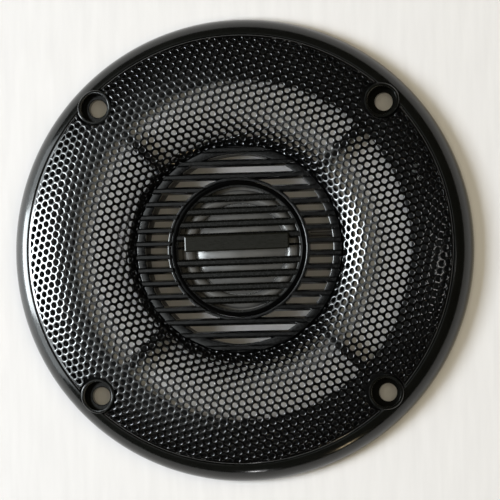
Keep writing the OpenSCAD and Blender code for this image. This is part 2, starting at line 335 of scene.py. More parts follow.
def joined(parts):
    """Several objects as one object."""
    bm = bmesh.new()
    for part in parts:
        bm.from_mesh(part.data)
        bpy.data.objects.remove(part)
    mesh = bpy.data.meshes.new("scratch")
    bm.to_mesh(mesh)
    bm.free()
    obj = bpy.data.objects.new("scratch", mesh)
    bpy.context.scene.collection.objects.link(obj)
    return obj


def shaded(obj, material, sharp=38):
    """Smooth shading with creases at sharp edges, and one material."""
    mesh = obj.data
    mesh.materials.clear()
    mesh.materials.append(material)
    mesh.polygons.foreach_set("use_smooth", [True] * len(mesh.polygons))
    mesh.polygons.foreach_set("material_index", [0] * len(mesh.polygons))
    mesh.set_sharp_from_angle(angle=math.radians(sharp))
    return obj


def soften_edges(obj, width, angle=50, segments=2):
    step = obj.modifiers.new("edges", "BEVEL")
    step.width = width * MM
    step.segments = segments
    step.limit_method = "ANGLE"
    step.angle_limit = math.radians(angle)
    step.harden_normals = True
    return obj


def stand_for(obj, node, body="unit"):
    """The object takes the place of a node of the frame."""
    obj.name = node + "_detail"
    obj.data.name = node + "_detail"
    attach(obj, body)
    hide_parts(node)
    return obj


# ---------------------------------------------------------------- materials

def new_material(name):
    material = bpy.data.materials.new(name)
    material.use_nodes = True
    return material, material.node_tree.nodes, material.node_tree.links


def surface(name, colour, roughness, grain=0.3, depth=0.004, spread=0.06, mottle=0.15,
            patch=6, metallic=0.0, coat=0.0, stretch=(1, 1, 1), **sockets):
    """A material with fine grain in its bump and roughness, and broad patches in its colour.
    grain and patch are the sizes of those features, and depth is how far the grain stands up."""
    material, nodes, links = new_material(name)
    shader = nodes["Principled BSDF"]
    shader.inputs["Metallic"].default_value = metallic
    shader.inputs["Coat Weight"].default_value = coat
    for socket, value in sockets.items():
        shader.inputs[socket.replace("_", " ")].default_value = value
    place = nodes.new("ShaderNodeTexCoord")
    stretched = nodes.new("ShaderNodeMapping")
    stretched.inputs["Scale"].default_value = stretch
    links.new(place.outputs["Object"], stretched.inputs["Vector"])

    fine = nodes.new("ShaderNodeTexNoise")
    fine.inputs["Scale"].default_value = 1 / (grain * MM)
    fine.inputs["Detail"].default_value = 4
    links.new(stretched.outputs["Vector"], fine.inputs["Vector"])
    broad = nodes.new("ShaderNodeTexNoise")
    broad.inputs["Scale"].default_value = 1 / (patch * MM)
    broad.inputs["Detail"].default_value = 3
    links.new(stretched.outputs["Vector"], broad.inputs["Vector"])

    tones = nodes.new("ShaderNodeValToRGB")
    tones.color_ramp.elements[0].position = 0.3
    tones.color_ramp.elements[1].position = 0.7
    tones.color_ramp.elements[0].color = [c * (1 - mottle) for c in colour] + [1]
    tones.color_ramp.elements[1].color = [c * (1 + mottle) for c in colour] + [1]
    links.new(broad.outputs["Fac"], tones.inputs["Fac"])
    links.new(tones.outputs["Color"], shader.inputs["Base Color"])

    rough = nodes.new("ShaderNodeMapRange")
    rough.inputs["From Min"].default_value = 0.3
    rough.inputs["From Max"].default_value = 0.7
    rough.inputs["To Min"].default_value = roughness - spread
    rough.inputs["To Max"].default_value = roughness + spread
    links.new(fine.outputs["Fac"], rough.inputs["Value"])
    links.new(rough.outputs["Result"], shader.inputs["Roughness"])

    bump = nodes.new("ShaderNodeBump")
    bump.inputs["Distance"].default_value = depth * MM
    links.new(fine.outputs["Fac"], bump.inputs["Height"])
    links.new(bump.outputs["Normal"], shader.inputs["Normal"])
    return material


BEZEL_PLASTIC = surface("bezel_plastic", (0.0042, 0.0045, 0.0038), 0.14, grain=0.5, depth=0.002,
                        Specular_IOR_Level=0.45)
FRAME_PLASTIC = surface("frame_plastic", (0.003, 0.003, 0.003), 0.5, grain=0.35, depth=0.012)
MESH_PAINT = surface("mesh_paint", (0.001, 0.001, 0.001), 0.08, grain=0.4, depth=0.002,
                     spread=0.03, Specular_IOR_Level=1.0)
COVER_PLASTIC = surface("cover_plastic", (0.002, 0.0021, 0.0022), 0.2, grain=0.6, depth=0.003,
                        Specular_IOR_Level=0.9)
CAPSULE_PLASTIC = surface("capsule_plastic", (0.003, 0.003, 0.003), 0.42, grain=0.3, depth=0.008)
RING_GLOSS = surface("ring_gloss", (0.001, 0.001, 0.001), 0.08, grain=1.2, depth=0.002,
                     spread=0.02, Specular_IOR_Level=0.12)
GRILLE_PLASTIC = surface("grille_plastic", (0.003, 0.003, 0.0024), 0.24, grain=0.6, depth=0.003,
                         Specular_IOR_Level=0.7)
BADGE_PAINT = surface("badge_paint", (0.006, 0.006, 0.004), 0.3, grain=0.25, depth=0.002,
                      stretch=(0.15, 1, 1), Specular_IOR_Level=0.35)
FILM = surface("film", (0.09, 0.09, 0.085), 0.22, grain=1.5, depth=0.006, spread=0.04,
               Specular_IOR_Level=0.8)
STEEL = surface("steel", (0.5, 0.5, 0.52), 0.3, grain=0.4, depth=0.004, metallic=1.0)
NICKEL = surface("nickel", (0.62, 0.6, 0.56), 0.18, grain=0.8, depth=0.002, metallic=1.0)
FELT = surface("felt", (0.2, 0.19, 0.17), 0.9, grain=0.12, depth=0.12, spread=0.05, mottle=0.35,
               patch=1.2)
FOAM = surface("foam", (0.016, 0.016, 0.016), 0.85, grain=0.5, depth=0.16, spread=0.08,
               mottle=0.3, patch=1.5)
SHEET_ALUMINIUM = surface("sheet_aluminium", (0.6, 0.6, 0.58), 0.28, grain=0.5, depth=0.002,
                          metallic=1.0)
COPPER = surface("copper", (0.6, 0.22, 0.09), 0.26, grain=0.3, depth=0.002, metallic=1.0)
TINSEL = surface("tinsel", (0.62, 0.33, 0.17), 0.4, grain=0.1, depth=0.03, metallic=1.0)
BOARD = surface("board", (0.03, 0.09, 0.03), 0.4, grain=0.25, depth=0.004)
CAPACITOR = surface("capacitor", (0.25, 0.07, 0.015), 0.22, grain=0.8, depth=0.01)
GREY_WIRE = surface("grey_wire", (0.16, 0.16, 0.155), 0.45, grain=0.25, depth=0.006)
BLACK_WIRE = surface("black_wire", (0.012, 0.012, 0.012), 0.42, grain=0.25, depth=0.006)
BRASS = surface("brass", (0.66, 0.47, 0.2), 0.27, grain=0.35, depth=0.003, metallic=1.0,
                mottle=0.08, stretch=(0.3, 1, 1))


# ---------------------------------------------------------------- bezel and frame

def bezel_profile():
    mid_r, mid_z = SLOPE_MID
    skirt_in = BEZEL_R - SKIRT_T
    lip_mid_r = LIP_R + LIP_ROUND
    lip_mid_z = mid_z + math.sqrt((SLOPE_R - LIP_ROUND) ** 2 - (lip_mid_r - mid_r) ** 2)
    meet = math.degrees(math.atan2(lip_mid_z - mid_z, lip_mid_r - mid_r))
    foot = [(skirt_in, 0.15), (skirt_in + 0.15, 0), (BEZEL_R - 0.25, 0), (BEZEL_R - 0.07, 0.07),
            (BEZEL_R, 0.25)]
    under = [(LIP_R, 6.5), (LIP_R + 0.1, 6.4), (LIP_R + 1.4, 6.4), (skirt_in, 4.6),
             (skirt_in, FRAME_Z), (skirt_in - 0.5, FRAME_Z), (skirt_in - 0.5, 2.1),
             (skirt_in, SLOPE_MID[1])]
    return (foot + arc(SLOPE_MID, SLOPE_R, 0, meet, 40)
            + arc((lip_mid_r, lip_mid_z), LIP_ROUND, meet + 12, 180, 10) + under)


def boss_mouth_z(r):
    """Height of a boss's mouth, which runs level with the bezel's curve."""
    beyond = max(r - SLOPE_MID[0], 0)
    return SLOPE_MID[1] + math.sqrt((SLOPE_R + BOSS_LIFT) ** 2 - beyond ** 2)


def boss(centre):
    """A cup for a screw. The last number says how far a point follows the mouth's curve."""
    edge = arc((BOSS_R - 0.3, -0.3), 0.3, 0, 90, 5) + arc((RECESS_R + 0.2, -0.2), 0.2, 90, 180, 5)
    profile = [(SCREW_HOLE_R + 0.15, BOSS_FOOT, 0), (BOSS_R - 0.15, BOSS_FOOT, 0),
               (BOSS_R, BOSS_FOOT + 0.15, 0), (BOSS_R, 5, 0)]
    profile += [(r, z, 1) for r, z in edge]
    profile += [(RECESS_R, 5, 0), (RECESS_R, SEAT_Z + 0.25, 0), (RECESS_R - 0.25, SEAT_Z, 0),
                (SCREW_HOLE_R + 0.2, SEAT_Z, 0), (SCREW_HOLE_R, SEAT_Z - 0.2, 0),
                (SCREW_HOLE_R, BOSS_FOOT + 0.15, 0)]
    bm = lathe(bmesh.new(), [(r, z) for r, z, _ in profile], 96, centre)
    bm.verts.ensure_lookup_table()
    for k, (_, _, follow) in enumerate(profile):
        if follow:
            for v in bm.verts[96 * k:96 * (k + 1)]:
                v.co.z += boss_mouth_z(math.hypot(v.co.x, v.co.y))
    return scratch(bm)


def front_bezel():
    ring = scratch(lathe(bmesh.new(), bezel_profile(), 288))
    room = (BOSS_R + RECESS_R) / 2
    cutters = [scratch(lathe(bmesh.new(), [(0, -1), (room, -1), (room, 20), (0, 20)], 64, c))
               for c in boss_centres()]
    combine(ring, cutters, "DIFFERENCE")
    combine(ring, [boss(c) for c in boss_centres()], "UNION")
    stand_for(shaded(ring, BEZEL_PLASTIC, 40), "front_bezel")


def collar_profile():
    web_top = FLANGE_TOP + 1.6
    return rounded([
        (COLLAR_IN_R, COLLAR_Z), (CHANNEL_IN_R, COLLAR_Z), (CHANNEL_IN_R, FLANGE_TOP),
        (CHANNEL_OUT_R, FLANGE_TOP), (CHANNEL_OUT_R, FRAME_Z), (COLLAR_OUT_R, FRAME_Z),
        (COLLAR_OUT_R, 8.2, 0.5), (CHANNEL_OUT_R, 8.2, 0.5), (CHANNEL_OUT_R, web_top),
        (COVER_R, web_top), (COVER_R, SEAT_TOP), (COLLAR_IN_R, SEAT_TOP)], 0.2, 3)


def spoke(angle):
    """A bar with rounded upper edges from the collar to the flange."""
    half = SPOKE_W / 2
    section = rounded([(-half, FRAME_Z, 0.15), (half, FRAME_Z, 0.15),
                       (half, SPOKE_TOP, 0.6), (-half, SPOKE_TOP, 0.6)], 0.2, 4)
    place = turned_place(angle)
    rings = [[place(x, y, z) for y, z in section] for x in (COLLAR_OUT_R - 0.6, WINDOW_R + 0.6)]
    return scratch(loft(bmesh.new(), rings))


def rear_frame():
    flange = rounded([(WINDOW_R, FRAME_Z), (FLANGE_R, FRAME_Z), (FLANGE_R, FLANGE_TOP),
                      (WINDOW_R, FLANGE_TOP, 0.5)], 0.25, 3)
    body = scratch(lathe(bmesh.new(), flange, 240))
    collar = scratch(lathe(bmesh.new(), collar_profile(), 192))
    bridge = scratch(prism(bmesh.new(), rectangle(
        CAPSULE_R + 0.2, BRIDGE_Y - BRIDGE_W / 2, COLLAR_IN_R + 0.4, BRIDGE_Y + BRIDGE_W / 2),
        COLLAR_Z, BRIDGE_TOP))
    spokes = [spoke(math.radians(a)) for a in BOSS_ANGLES]
    combine(body, [collar, bridge] + spokes, "UNION")

    room = BOSS_R + 0.15
    notch = arc((0, 0), room, 90, 270, 32) + [(8, -room), (8, room)]
    cutters = [scratch(prism(bmesh.new(), notch, 0, 9, turned_place(math.radians(a), SCREW_RING_R)))
               for a in BOSS_ANGLES]
    for quarter in range(4):
        place = turned_place(quarter * math.pi / 2)
        slot = rectangle(MESH_R - SHEET_T - 0.15, -TAB_W / 2 - 0.2, MESH_R + 0.15, TAB_W / 2 + 0.2)
        cutters.append(scratch(prism(bmesh.new(), slot, 0, FLANGE_TOP + 1, place)))
    cutters.append(scratch(prism(bmesh.new(), rectangle(
        COLLAR_IN_R - 1, BRIDGE_Y - BRIDGE_W / 2, COLLAR_IN_R + 2.5, BRIDGE_Y + BRIDGE_W / 2),
        BRIDGE_TOP, BRIDGE_TOP + 2.2)))
    place = turned_place(BLOCK_ANGLE, BLOCK_R)
    for y in (-RIVET_Y, RIVET_Y):
        x0, y0, _ = place(0, y, 0)
        hole = [(0, 0), (0.85, 0), (0.85, 9), (0, 9)]
        cutters.append(scratch(lathe(bmesh.new(), hole, 32, (x0, y0))))
    combine(body, cutters, "DIFFERENCE")
    stand_for(shaded(body, FRAME_PLASTIC, 40), "rear_frame")


def foam_gasket():
    """Four strips of foam between the bosses."""
    inner, outer = MESH_R + 0.8, BEZEL_R - SKIRT_T - 0.6
    section = rounded(rectangle(inner, 0, outer, FRAME_Z), 0.3, 3)
    ring = scratch(lathe(bmesh.new(), section, 288))
    room = BOSS_R + 0.5
    cutters = [scratch(lathe(bmesh.new(), [(0, -1), (room, -1), (room, 9), (0, 9)], 48, c))
               for c in boss_centres()]
    combine(ring, cutters, "DIFFERENCE")
    stand_for(shaded(ring, FOAM, 45), "foam_gasket")


# ---------------------------------------------------------------- mesh

EDGE_SINE = (CREST_R - MESH_IN_R - EDGE_ARC) / (INNER_ARC - EDGE_ARC)
EDGE_LEAN = math.asin(EDGE_SINE)
EDGE_MID = (CREST_R - (INNER_ARC - EDGE_ARC) * EDGE_SINE,
            CREST_Z - INNER_ARC + (INNER_ARC - EDGE_ARC) * math.cos(EDGE_LEAN))
ARC_RUN = INNER_ARC * EDGE_LEAN
BEND_RUN = EDGE_ARC * (math.pi / 2 - EDGE_LEAN)
SKIRT_RUN = EDGE_MID[1] - MESH_IN_Z
MESH_CUT_OUT_R = MESH_R - SHEET_T / 2


def radius_to_run(r):
    """Distance along the sheet outwards from the crest, for a radius beyond the crest."""
    return OUTER_ARC * np.arcsin((r - CREST_R) / OUTER_ARC)


def on_sheet(flat, depth):
    """Takes points of the flat sheet to the drawn one. depth is measured down from its face."""
    rho = np.hypot(flat[:, 0], flat[:, 1])
    turn = np.arctan2(flat[:, 1], flat[:, 0])
    run = rho - CREST_R
    out = run / OUTER_ARC
    r = CREST_R + (OUTER_ARC - depth) * np.sin(out)
    z = CREST_Z - OUTER_ARC + (OUTER_ARC - depth) * np.cos(out)

    inwards = -run
    lean = np.minimum(inwards, ARC_RUN) / INNER_ARC
    on_arc = inwards > 0
    r = np.where(on_arc, CREST_R - (INNER_ARC - depth) * np.sin(lean), r)
    z = np.where(on_arc, CREST_Z - INNER_ARC + (INNER_ARC - depth) * np.cos(lean), z)

    bend = EDGE_LEAN + np.clip(inwards - ARC_RUN, 0, BEND_RUN) / EDGE_ARC
    on_bend = inwards > ARC_RUN
    r = np.where(on_bend, EDGE_MID[0] - (EDGE_ARC - depth) * np.sin(bend), r)
    z = np.where(on_bend, EDGE_MID[1] + (EDGE_ARC - depth) * np.cos(bend), z)
    z = z - np.maximum(inwards - ARC_RUN - BEND_RUN, 0)
    return np.column_stack([r * np.cos(turn), r * np.sin(turn), z])


def keep_on_sheet(flat):
    """Pulls points back onto the sheet's edges, and says which ones moved."""
    low = CREST_R - ARC_RUN - BEND_RUN - SKIRT_RUN
    high = CREST_R + radius_to_run(MESH_CUT_OUT_R)
    rho = np.hypot(flat[:, 0], flat[:, 1])
    moved = (rho < low) | (rho > high)
    flat = flat * (np.clip(rho, low, high) / rho)[:, None]
    for centre in boss_centres():
        rho = np.hypot(flat[:, 0], flat[:, 1])
        beyond = rho > CREST_R
        r = np.where(beyond, CREST_R + OUTER_ARC * np.sin((rho - CREST_R) / OUTER_ARC), rho)
        seen = flat * (r / rho)[:, None]
        away = seen - np.array(centre)
        gap = np.hypot(away[:, 0], away[:, 1])
        inside = beyond & (gap < MESH_CUT_R)
        seen = np.where(inside[:, None],
                        np.array(centre) + away * (MESH_CUT_R / gap)[:, None], seen)
        r = np.clip(np.hypot(seen[:, 0], seen[:, 1]), 0, MESH_CUT_OUT_R)
        new_rho = CREST_R + radius_to_run(np.maximum(r, CREST_R))
        new_flat = seen * (new_rho / np.hypot(seen[:, 0], seen[:, 1]))[:, None]
        flat = np.where(inside[:, None], new_flat, flat)
        moved = moved | inside
    return flat, moved


def hole_centres():
    """A triangular lattice of holes over the whole sheet."""
    a = HOLE_PITCH * np.array([math.cos(HOLE_TURN), math.sin(HOLE_TURN)])
    b = HOLE_PITCH * np.array([math.cos(HOLE_TURN + TAU / 6), math.sin(HOLE_TURN + TAU / 6)])
    span = range(-36, 37)
    centres = np.array([i * a + j * b for i in span for j in span])
    rho = np.hypot(centres[:, 0], centres[:, 1])
    low = CREST_R - ARC_RUN - BEND_RUN - SKIRT_RUN - HOLE_PITCH
    high = CREST_R + radius_to_run(MESH_CUT_OUT_R) + HOLE_PITCH
    return centres[(rho > low) & (rho < high)]


def perforated_sheet():
    """One six-sided cell round each hole, with a rolled upper edge, drawn to the sheet's shape."""
    centres = hole_centres()
    count = len(centres)
    turns = HOLE_TURN + TAU / 12 * (1 + np.arange(12))
    unit = np.column_stack([np.cos(turns), np.sin(turns)])
    corners = centres[:, None, :] + unit[None, ::2, :] * HOLE_PITCH / math.sqrt(3)
    keys = np.round(corners.reshape(-1, 2), 4)
    shared, which = np.unique(keys, axis=0, return_inverse=True)
    which = which.reshape(count, 6)
    rings = [(HOLE_R + HOLE_ROLL, 0), (HOLE_R + HOLE_ROLL * 0.3, HOLE_ROLL * 0.3),
             (HOLE_R, HOLE_ROLL), (HOLE_R, SHEET_T)]
    layers = [(shared, 0), (shared, SHEET_T)]
    for radius, depth in rings:
        layers.append(((centres[:, None, :] + unit[None] * radius).reshape(-1, 2), depth))
    places, clamped, starts = [], [], []
    total = 0
    for flat, depth in layers:
        flat, moved = keep_on_sheet(flat)
        places.append(on_sheet(flat, depth))
        clamped.append(moved)
        starts.append(total)
        total += len(flat)
    places = np.vstack(places)
    clamped = np.concatenate(clamped)

    cell = np.arange(count)[:, None] * 12
    loops = [cell + np.arange(12)[None] + start for start in starts[2:]]
    upper, lower = which + starts[0], which + starts[1]
    faces = []
    for k in range(6):
        n = (k + 1) % 6
        a, b, c = 2 * k, 2 * k + 1, (2 * k + 2) % 12
        for outer, loop, flip in ((upper, loops[0], False), (lower, loops[-1], True)):
            for tri in ((outer[:, k], outer[:, n], loop[:, b]),
                        (outer[:, k], loop[:, b], loop[:, a]),
                        (outer[:, n], loop[:, c], loop[:, b])):
                faces.append(np.column_stack(tri[::-1] if flip else tri))
    quads = []
    for high_loop, low_loop in zip(loops, loops[1:]):
        for m in range(12):
            n = (m + 1) % 12
            quads.append(np.column_stack(
                [high_loop[:, m], high_loop[:, n], low_loop[:, n], low_loop[:, m]]))
    kept = []
    for group in (np.vstack(faces), np.vstack(quads)):
        kept += group[~clamped[group].all(axis=1)].tolist()
    mesh = bpy.data.meshes.new("scratch")
    mesh.from_pydata((places * MM).tolist(), [], kept)
    mesh.update()
    return close_strands(mesh)


def close_strands(mesh):
    """Closes the small open ends that are left where an edge of the sheet cuts through holes."""
    bm = bmesh.new()
    bm.from_mesh(mesh)
    bmesh.ops.delete(bm, geom=[v for v in bm.verts if not v.link_faces], context="VERTS")
    bmesh.ops.dissolve_degenerate(bm, dist=0.002 * MM, edges=bm.edges)
    open_edges = [e for e in bm.edges if e.is_boundary]
    bmesh.ops.holes_fill(bm, edges=open_edges, sides=0)
    bm.to_mesh(mesh)
    bm.free()
    obj = bpy.data.objects.new("scratch", mesh)
    bpy.context.scene.collection.objects.link(obj)
    return obj


def mesh_rim():
    """The plain turned-down edge under the bezel's bead."""
    inner = MESH_R - SHEET_T
    lean = math.asin((MESH_R - CREST_R) / OUTER_ARC)
    edge_z = CREST_Z - OUTER_ARC * (1 - math.cos(lean))
    profile = rounded([(inner, MESH_FOOT_Z, 0.1), (MESH_R, MESH_FOOT_Z, 0.1),
                       (MESH_R, edge_z, 0.6), (inner, edge_z + 0.45, 0.1)], 0.1, 5)
    rim = scratch(lathe(bmesh.new(), profile, 288))
    cut = [(0, 0), (MESH_CUT_R, 0), (MESH_CUT_R, 20), (0, 20)]
    cutters = [scratch(lathe(bmesh.new(), cut, 64, c)) for c in boss_centres()]
    return combine(rim, cutters, "DIFFERENCE")


def mesh_tab(quarter):
    """A tab that goes through the flange and is bent over behind it."""
    foot = FRAME_Z - 0.1 - SHEET_T
    outer, inner, end = MESH_R, MESH_R - SHEET_T, MESH_R - 4
    side = rounded([(end, foot, 0.15), (outer, foot, SHEET_T), (outer, MESH_FOOT_Z + 0.5, 0.02),
                    (inner, MESH_FOOT_Z + 0.5, 0.02), (inner, foot + SHEET_T, 0.1),
                    (end, foot + SHEET_T, 0.15)], 0.1, 4)
    turn = turned_place(quarter * math.pi / 2)
    rings = [[turn(x, y, z) for x, z in side] for y in (TAB_W / 2, -TAB_W / 2)]
    return scratch(loft(bmesh.new(), rings))


def mesh_grille():
    parts = [perforated_sheet(), mesh_rim()] + [mesh_tab(q) for q in range(4)]
    stand_for(shaded(joined(parts), MESH_PAINT, 58), "mesh_grille")


# ---------------------------------------------------------------- louvres

def slat_section(z0, root_h, z1):
    """Half widths and heights round a slat: a straight root and a rounded, tapering blade."""
    root = SLAT_ROOT_W / 2
    face = SLAT_FACE_W / 2
    shoulder = z0 + root_h
    return rounded([(-root, z0, 0.12), (root, z0, 0.12), (root, shoulder, 0.25),
                    (face, z1, 0.25), (-face, z1, 0.25), (-root, shoulder, 0.25)], 0.2, 4)


def slat(section, y_mid, outer_r, inner_r=0):
    """Slat bars along X that end on a circle and, if there is one, start on an inner circle."""
    widest = max(abs(y) for y, _ in section)
    if abs(y_mid) + widest <= inner_r:
        spans = [(-1, 0), (1, 0)]
    elif abs(y_mid) - widest < inner_r:
        spans = [(0, inner_r)]
    else:
        spans = [(0, 0)]
    for side, hollow in spans:
        bm = bmesh.new()
        if side:
            rings = []
            for share in (0, 1):
                ring = []
                for dy, z in section:
                    y = y_mid + dy
                    ends = [math.sqrt(r * r - y * y) for r in (inner_r, outer_r)]
                    ring.append((side * ends[share], y, z))
                rings.append(ring)
        else:
            rings = []
            steps = 48 if hollow else 1
            for k in range(steps + 1):
                share = 2 * k / steps - 1
                ring = []
                for dy, z in section:
                    y = y_mid + dy
                    x = share * math.sqrt(outer_r ** 2 - y * y)
                    wall = math.sqrt(max(hollow ** 2 - x * x, 0))
                    ring.append((x, math.copysign(max(abs(y), wall), y_mid), z))
                rings.append(ring)
        yield scratch(loft(bm, rings))


def turn_parts(parts, angle):
    c, s = math.cos(angle), math.sin(angle)
    for part in parts:
        for v in part.data.vertices:
            x, y = v.co.x, v.co.y
            v.co.x, v.co.y = x * c - y * s, x * s + y * c
    return parts


def louvre_cover():
    section = slat_section(SLAT_BOTTOM, SLAT_ROOT_H, SLAT_TOP)
    slats = []
    for i in range(SLATS_EACH_SIDE):
        for side in (-1, 1):
            slats += slat(section, side * (i + 0.5) * SLAT_PITCH, COVER_R, SLAT_START_R)
    turn_parts(slats, COVER_TURN)
    rim = rounded(rectangle(COLLAR_IN_R, COVER_RIM_Z[0], COVER_R, COVER_RIM_Z[1]), 0.35, 4)
    hoop = rounded(rectangle(HOOP_R[0], HOOP_BOTTOM, HOOP_R[1], HOOP_TOP), 0.2, 3)
    rings = [scratch(lathe(bmesh.new(), p)) for p in (rim, hoop)]
    stand_for(shaded(joined(rings + slats), COVER_PLASTIC, 42), "louvre_cover")


def capsule_grille():
    section = slat_section(GRILLE_BOTTOM, GRILLE_ROOT_H, GRILLE_TOP)
    slats = []
    for i in range(-GRILLE_SLATS, GRILLE_SLATS + 1):
        slats += slat(section, i * GRILLE_PITCH, GRILLE_R)
    turn_parts(slats, GRILLE_TURN)
    rim = rounded(rectangle(GRILLE_R - 0.5, CAPSULE_Z[1], CAPSULE_R - 0.1, GRILLE_RIM_TOP), 0.15, 3)
    parts = [scratch(lathe(bmesh.new(), rim))] + slats
    stand_for(shaded(joined(parts), GRILLE_PLASTIC, 42), "capsule_grille")


# ---------------------------------------------------------------- capsule

def capsule_ring():
    """A flat polished ring with a rounded outer edge."""
    inner, outer = RING_R
    profile = rounded([(inner, GRILLE_RIM_TOP, 0.05), (outer, GRILLE_RIM_TOP, 0.05),
                       (outer, RING_TOP, 0.35), (inner, RING_TOP, 0.15)], 0.1, 6)
    ring = scratch(lathe(bmesh.new(), profile, 256))
    stand_for(shaded(ring, RING_GLOSS, 50), "capsule_ring")


def capsule_housing():
    low, high = CAPSULE_Z
    profile = rounded([(0, low, 0), (CAPSULE_R, low, 0.4), (CAPSULE_R, high, 0.25),
                       (CUP_IN_R, high, 0.25), (CUP_IN_R, CUP_FLOOR, 0.3), (0, CUP_FLOOR, 0)],
                      0.2, 4)
    cup = scratch(lathe(bmesh.new(), profile, 192))
    notch = rectangle(CUP_IN_R - 1.5, BRIDGE_Y - BRIDGE_W / 2, CUP_IN_R + 2.5, BRIDGE_Y + BRIDGE_W / 2)
    combine(cup, [scratch(prism(bmesh.new(), notch, BRIDGE_TOP, BRIDGE_TOP + 1.2))], "DIFFERENCE")
    stand_for(shaded(cup, CAPSULE_PLASTIC, 40), "capsule_housing")


def badge_plate():
    """A blank plate with a soft bevel all round."""
    half_w, half_h = BADGE_SIZE[0] / 2, BADGE_SIZE[1] / 2
    turn = turned_place(GRILLE_TURN)
    rings = []
    for inset, z in ((0, GRILLE_TOP), (0, BADGE_TOP - 0.3), (0.06, BADGE_TOP - 0.2),
                     (0.36, BADGE_TOP)):
        w, h = half_w - inset, half_h - inset
        outline = rounded(rectangle(-w, -h, w, h), 0.5 - inset / 2, 4)
        rings.append([turn(BADGE_MID[0] + x, BADGE_MID[1] + y, z) for x, y in outline])
    plate = scratch(loft(bmesh.new(), rings))
    stand_for(shaded(plate, BADGE_PAINT, 20), "badge_plate")


# ---------------------------------------------------------------- motor and diaphragm

def turned_piece(node, outline, radius, material, body="unit", steps=160, sharp=38):
    piece = scratch(lathe(bmesh.new(), rounded(outline, radius, 3), steps))
    return stand_for(shaded(piece, material, sharp), node, body)


def motor():
    turned_piece("yoke_cup", [
        (0, CUP_FLOOR, 0), (YOKE_R, CUP_FLOOR, 0.3), (YOKE_R, YOKE_TOP, 0.2),
        (GAP_OUT_R, YOKE_TOP, 0.12), (GAP_OUT_R, YOKE_FLOOR, 0.2), (0, YOKE_FLOOR, 0)], 0.2, STEEL)
    turned_piece("magnet", [(0, YOKE_FLOOR, 0), (MAGNET_R, YOKE_FLOOR, 0.2),
                            (MAGNET_R, MAGNET_TOP, 0.2), (0, MAGNET_TOP, 0)], 0.2, NICKEL)
    turned_piece("pole_plate", [(0, MAGNET_TOP, 0), (POLE_R, MAGNET_TOP, 0.12),
                                (POLE_R, YOKE_TOP, 0.12), (0, YOKE_TOP, 0)], 0.2, STEEL)
    turned_piece("damping_pad", [(0, YOKE_TOP, 0), (PAD_R, YOKE_TOP, 0.1), (PAD_R, PAD_TOP, 0.3),
                                 (0, PAD_TOP, 0)], 0.2, FELT)


def diaphragm_ring():
    inner, outer = HANGER_R
    profile = rounded(rectangle(inner, YOKE_TOP, outer, HANG_Z), 0.15, 3)
    ring = scratch(lathe(bmesh.new(), profile, 160))
    notch = prism(bmesh.new(), rectangle(14, -2.2, 17.2, 2.2), 0, 20, turned_place(LEAD_ANGLE))
    combine(ring, [scratch(notch)], "DIFFERENCE")
    stand_for(shaded(ring, CAPSULE_PLASTIC, 40), "diaphragm_ring")


def dome():
    """A thin cap, with the film's outer and inner faces."""
    height = DOME_TOP - HANG_Z
    cap_r = (DOME_R ** 2 + height ** 2) / (2 * height)
    cap_mid = DOME_TOP - cap_r
    profile = []
    for radius, order in ((cap_r, 1), (cap_r - FILM_T, -1)):
        lean = math.degrees(math.acos(min((HANG_Z - cap_mid) / radius, 1)))
        face = arc((0, cap_mid), radius, 90 - lean, 90, 28)
        profile += face[::order]
    profile = [(0.0 if r < 1e-4 else r, z) for r, z in profile]
    cap = scratch(lathe(bmesh.new(), profile, 192))
    stand_for(shaded(cap, FILM, 60), "dome", "diaphragm")


def surround():
    """A film roll that is glued to its ring."""
    mid = sum(ROLL_R) / 2
    half = (ROLL_R[1] - ROLL_R[0]) / 2
    flange_r = HANGER_R[1] - 0.2
    profile = (arc((mid, HANG_Z), half, 180, 0, 24)
               + [(flange_r, HANG_Z), (flange_r, HANG_Z + FILM_T)]
               + arc((mid, HANG_Z), half + FILM_T, 5, 175, 24))
    roll = shaded(scratch(lathe(bmesh.new(), profile, 192)), FILM, 60)
    radii = [math.hypot(v.co.x, v.co.y) / MM for v in roll.data.vertices]
    bend_with_dome(roll, "surround", [(ROLL_R[1] - r) / (ROLL_R[1] - ROLL_R[0]) for r in radii])


def bend_with_dome(obj, node, shares):
    """Names the piece after its node, bakes its place into its points and hides the node. The eased
    shares are worked out but not applied, so no point follows the dome.
    """
    obj.name = node + "_detail"
    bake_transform(obj)
    eased = [min(max(s, 0), 1) ** 2 * (3 - 2 * min(max(s, 0), 1)) for s in shares]
    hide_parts(node)


def voice_coil():
    former_out = WINDING_R[0]
    turned_piece("coil_former", rectangle(FORMER_R, 3.2, former_out, HANG_Z), 0.03,
                 SHEET_ALUMINIUM, "diaphragm", 192)
    low, high = WINDING_Z
    turns = 9
    wire = (high - low) / turns
    outline = [(former_out, low), (WINDING_R[1] - wire / 2, low)]
    for k in range(turns):
        outline += arc((WINDING_R[1] - wire / 2, low + wire * (k + 0.5)), wire / 2, -80, 80, 6)
    outline += [(WINDING_R[1] - wire / 2, high), (former_out, high)]
    winding = scratch(lathe(bmesh.new(), outline, 160))
    stand_for(shaded(winding, COPPER, 50), "coil_winding", "diaphragm")


# ---------------------------------------------------------------- wiring

def smooth_route(points, rounds):
    """Cuts each corner of a route again and again, and keeps its ends."""
    for _ in range(rounds):
        cut = [points[0]]
        for a, b in zip(points, points[1:]):
            cut.append([0.75 * p + 0.25 * q for p, q in zip(a, b)])
            cut.append([0.25 * p + 0.75 * q for p, q in zip(a, b)])
        points = cut + [points[-1]]
    return points


